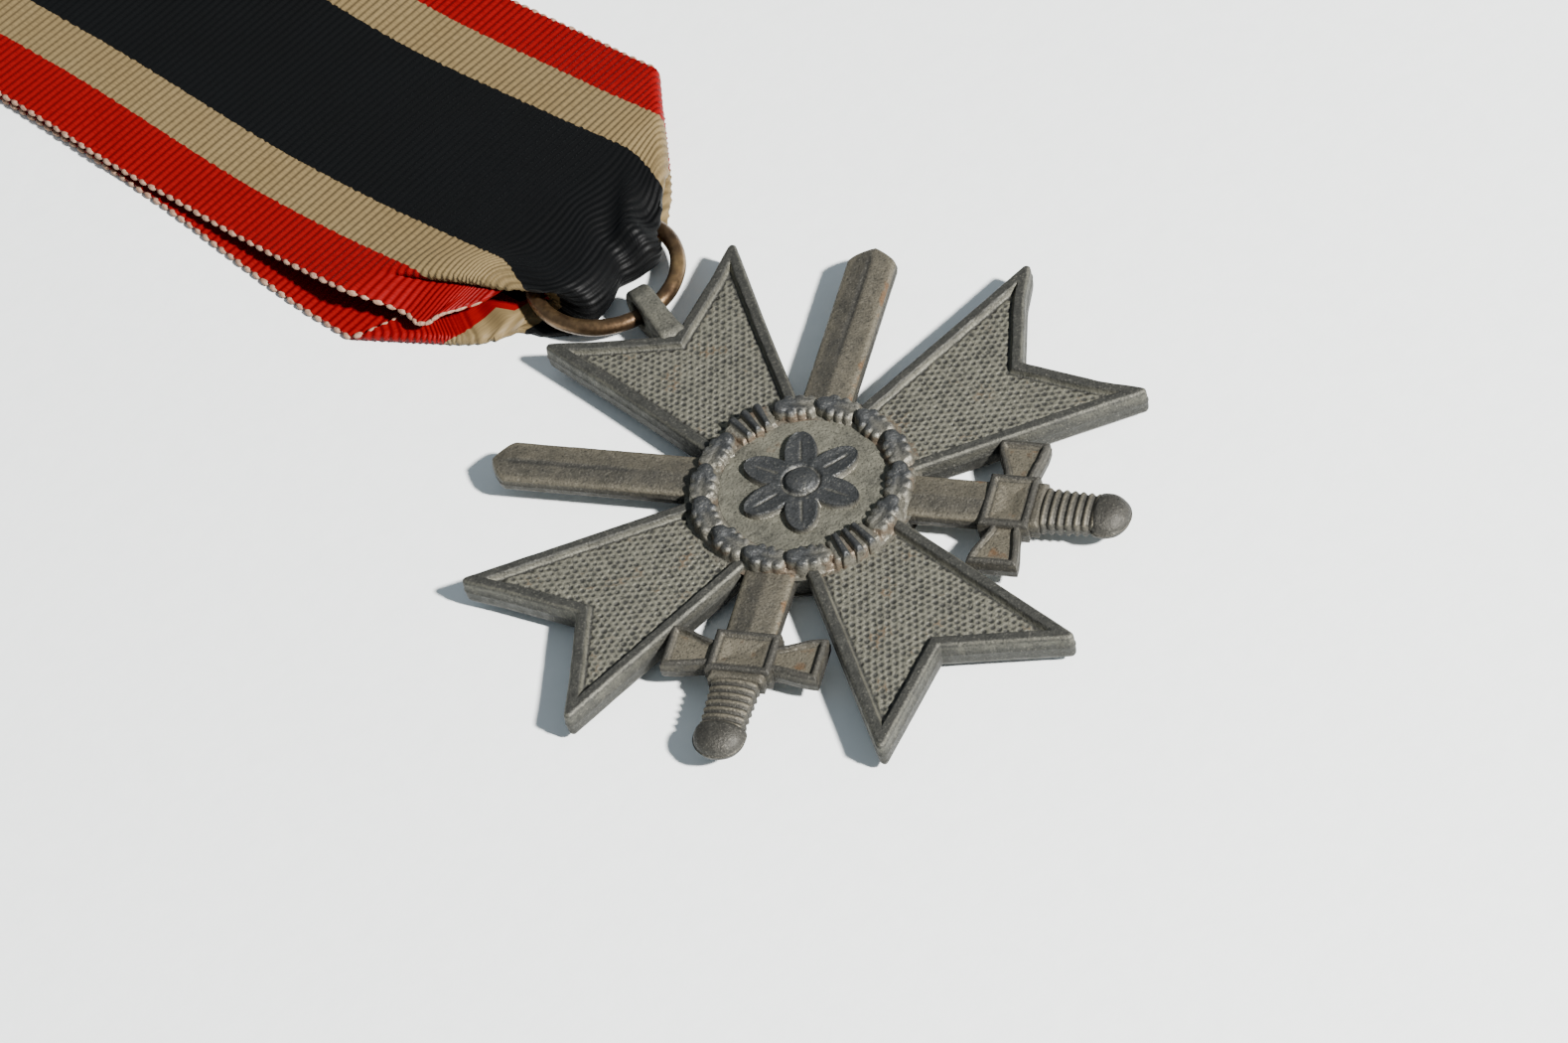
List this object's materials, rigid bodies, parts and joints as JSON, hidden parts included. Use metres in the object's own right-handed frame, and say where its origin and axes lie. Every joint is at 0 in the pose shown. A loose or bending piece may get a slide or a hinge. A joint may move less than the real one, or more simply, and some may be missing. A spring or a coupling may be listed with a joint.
{
  "type": "medal",
  "caption": "Cross-shaped zinc medal with crossed swords and an oak wreath, hanging by an eyelet and a wire ring from a folded, striped ribbon.",
  "frame": {"origin": "middle of the cross, on the plane that its back rests on", "axes": "+Z out of the front of the cross, +Y to the eyelet, ring and ribbon, +X to the right arm"},
  "size_m": [0.0604, 0.1317, 0.004],
  "materials": {
    "zinc": "grey zinc, matt, worn and spotted",
    "sword_zinc": "grey zinc with ochre tarnish",
    "wreath_zinc": "dark grey zinc, worn on the high spots",
    "ring_bronze": "brown tarnished bronze wire",
    "ribbon_cloth": "ribbed silk with red, cream and black stripes"
  },
  "bodies": {
    "cross": {"cross_plate": "zinc", "left_sword": "sword_zinc", "right_sword": "sword_zinc", "front_medallion": "zinc", "back_medallion": "zinc", "front_wreath": "wreath_zinc", "back_wreath": "wreath_zinc", "rosette": "wreath_zinc", "eyelet": "zinc"},
    "ring": {"suspension_ring": "ring_bronze"},
    "ribbon": {"ribbon": "ribbon_cloth"}
  },
  "joints": [
    {"name": "ring_swing", "type": "hinge", "parent": "cross", "child": "ring", "pos_m": [0, 0.02328, 0.0019], "axis": [1, 0, 0], "range_deg": [-115, 115]},
    {"name": "ribbon_swing", "type": "hinge", "parent": "ring", "child": "ribbon", "pos_m": [-0.00224, 0.03421, 0.0019], "axis": [0.9563, 0.2924, 0], "range_deg": [-20, 20]}
  ]
}
